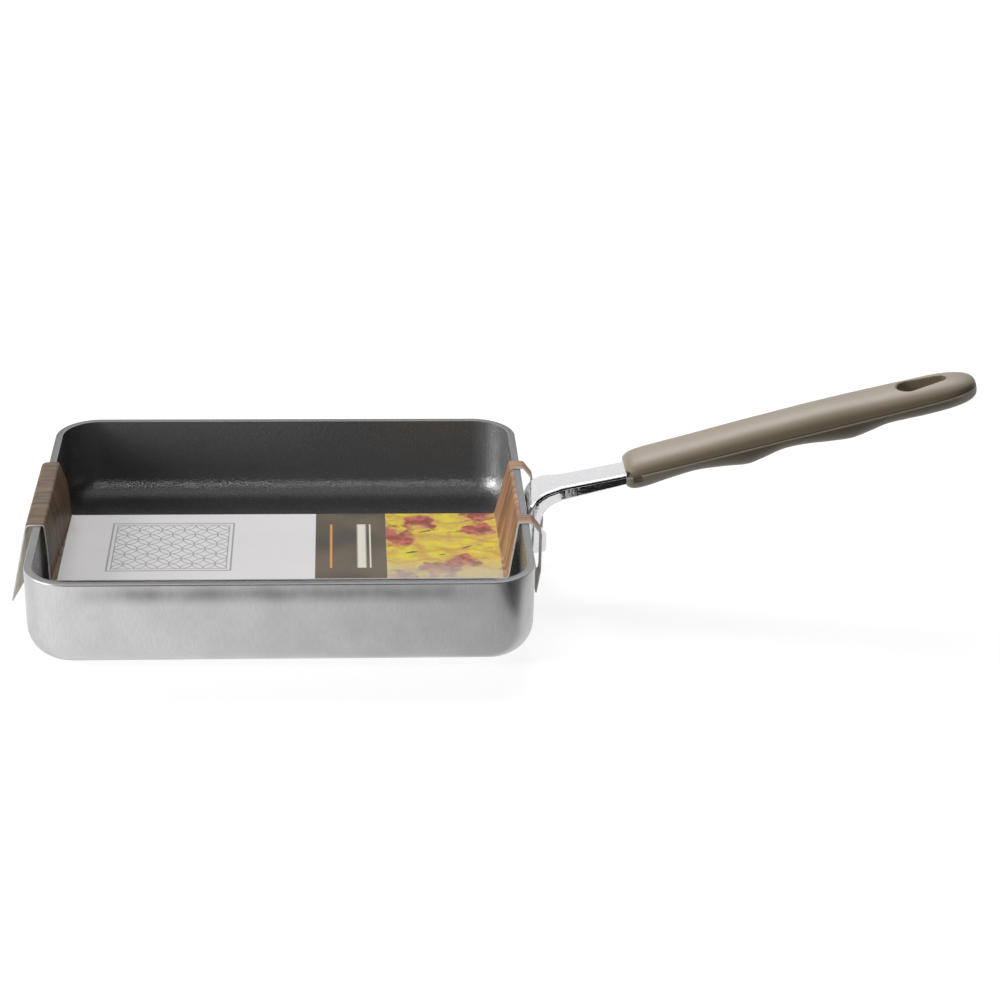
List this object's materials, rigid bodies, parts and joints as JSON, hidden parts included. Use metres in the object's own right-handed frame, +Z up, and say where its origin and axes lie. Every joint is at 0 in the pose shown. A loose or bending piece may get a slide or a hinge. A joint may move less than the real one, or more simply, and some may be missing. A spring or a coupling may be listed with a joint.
{
  "type": "tamagoyaki pan",
  "caption": "Small rectangular omelette pan of coated aluminium with a riveted chromed bracket, a soft grip with a hang slot, and a retail card folded over its rims.",
  "frame": {"origin": "middle of the pan's flat base, on the surface that it stands on", "axes": "+X along the handle, from the pan towards the grip's tip; +Y across the pan; +Z up"},
  "size_m": [0.3566, 0.15, 0.0818],
  "materials": {
    "satin_aluminium": "satin, finely brushed",
    "nonstick": "dark satin non-stick coating",
    "chrome_plate": "bright chrome plate on steel",
    "rivet_aluminium": "plain",
    "soft_grip": "soft touch, matte",
    "screw_steel": "zinc plated",
    "printed_card": "printed, satin"
  },
  "bodies": {
    "root": {"pan_body": "satin_aluminium", "nonstick_coating": "nonstick", "handle_bracket": "chrome_plate", "bracket_rivets": "rivet_aluminium", "grip_lower": "soft_grip", "grip_upper": "soft_grip", "grip_screws": "screw_steel", "card_sleeve": "printed_card"}
  },
  "joints": []
}
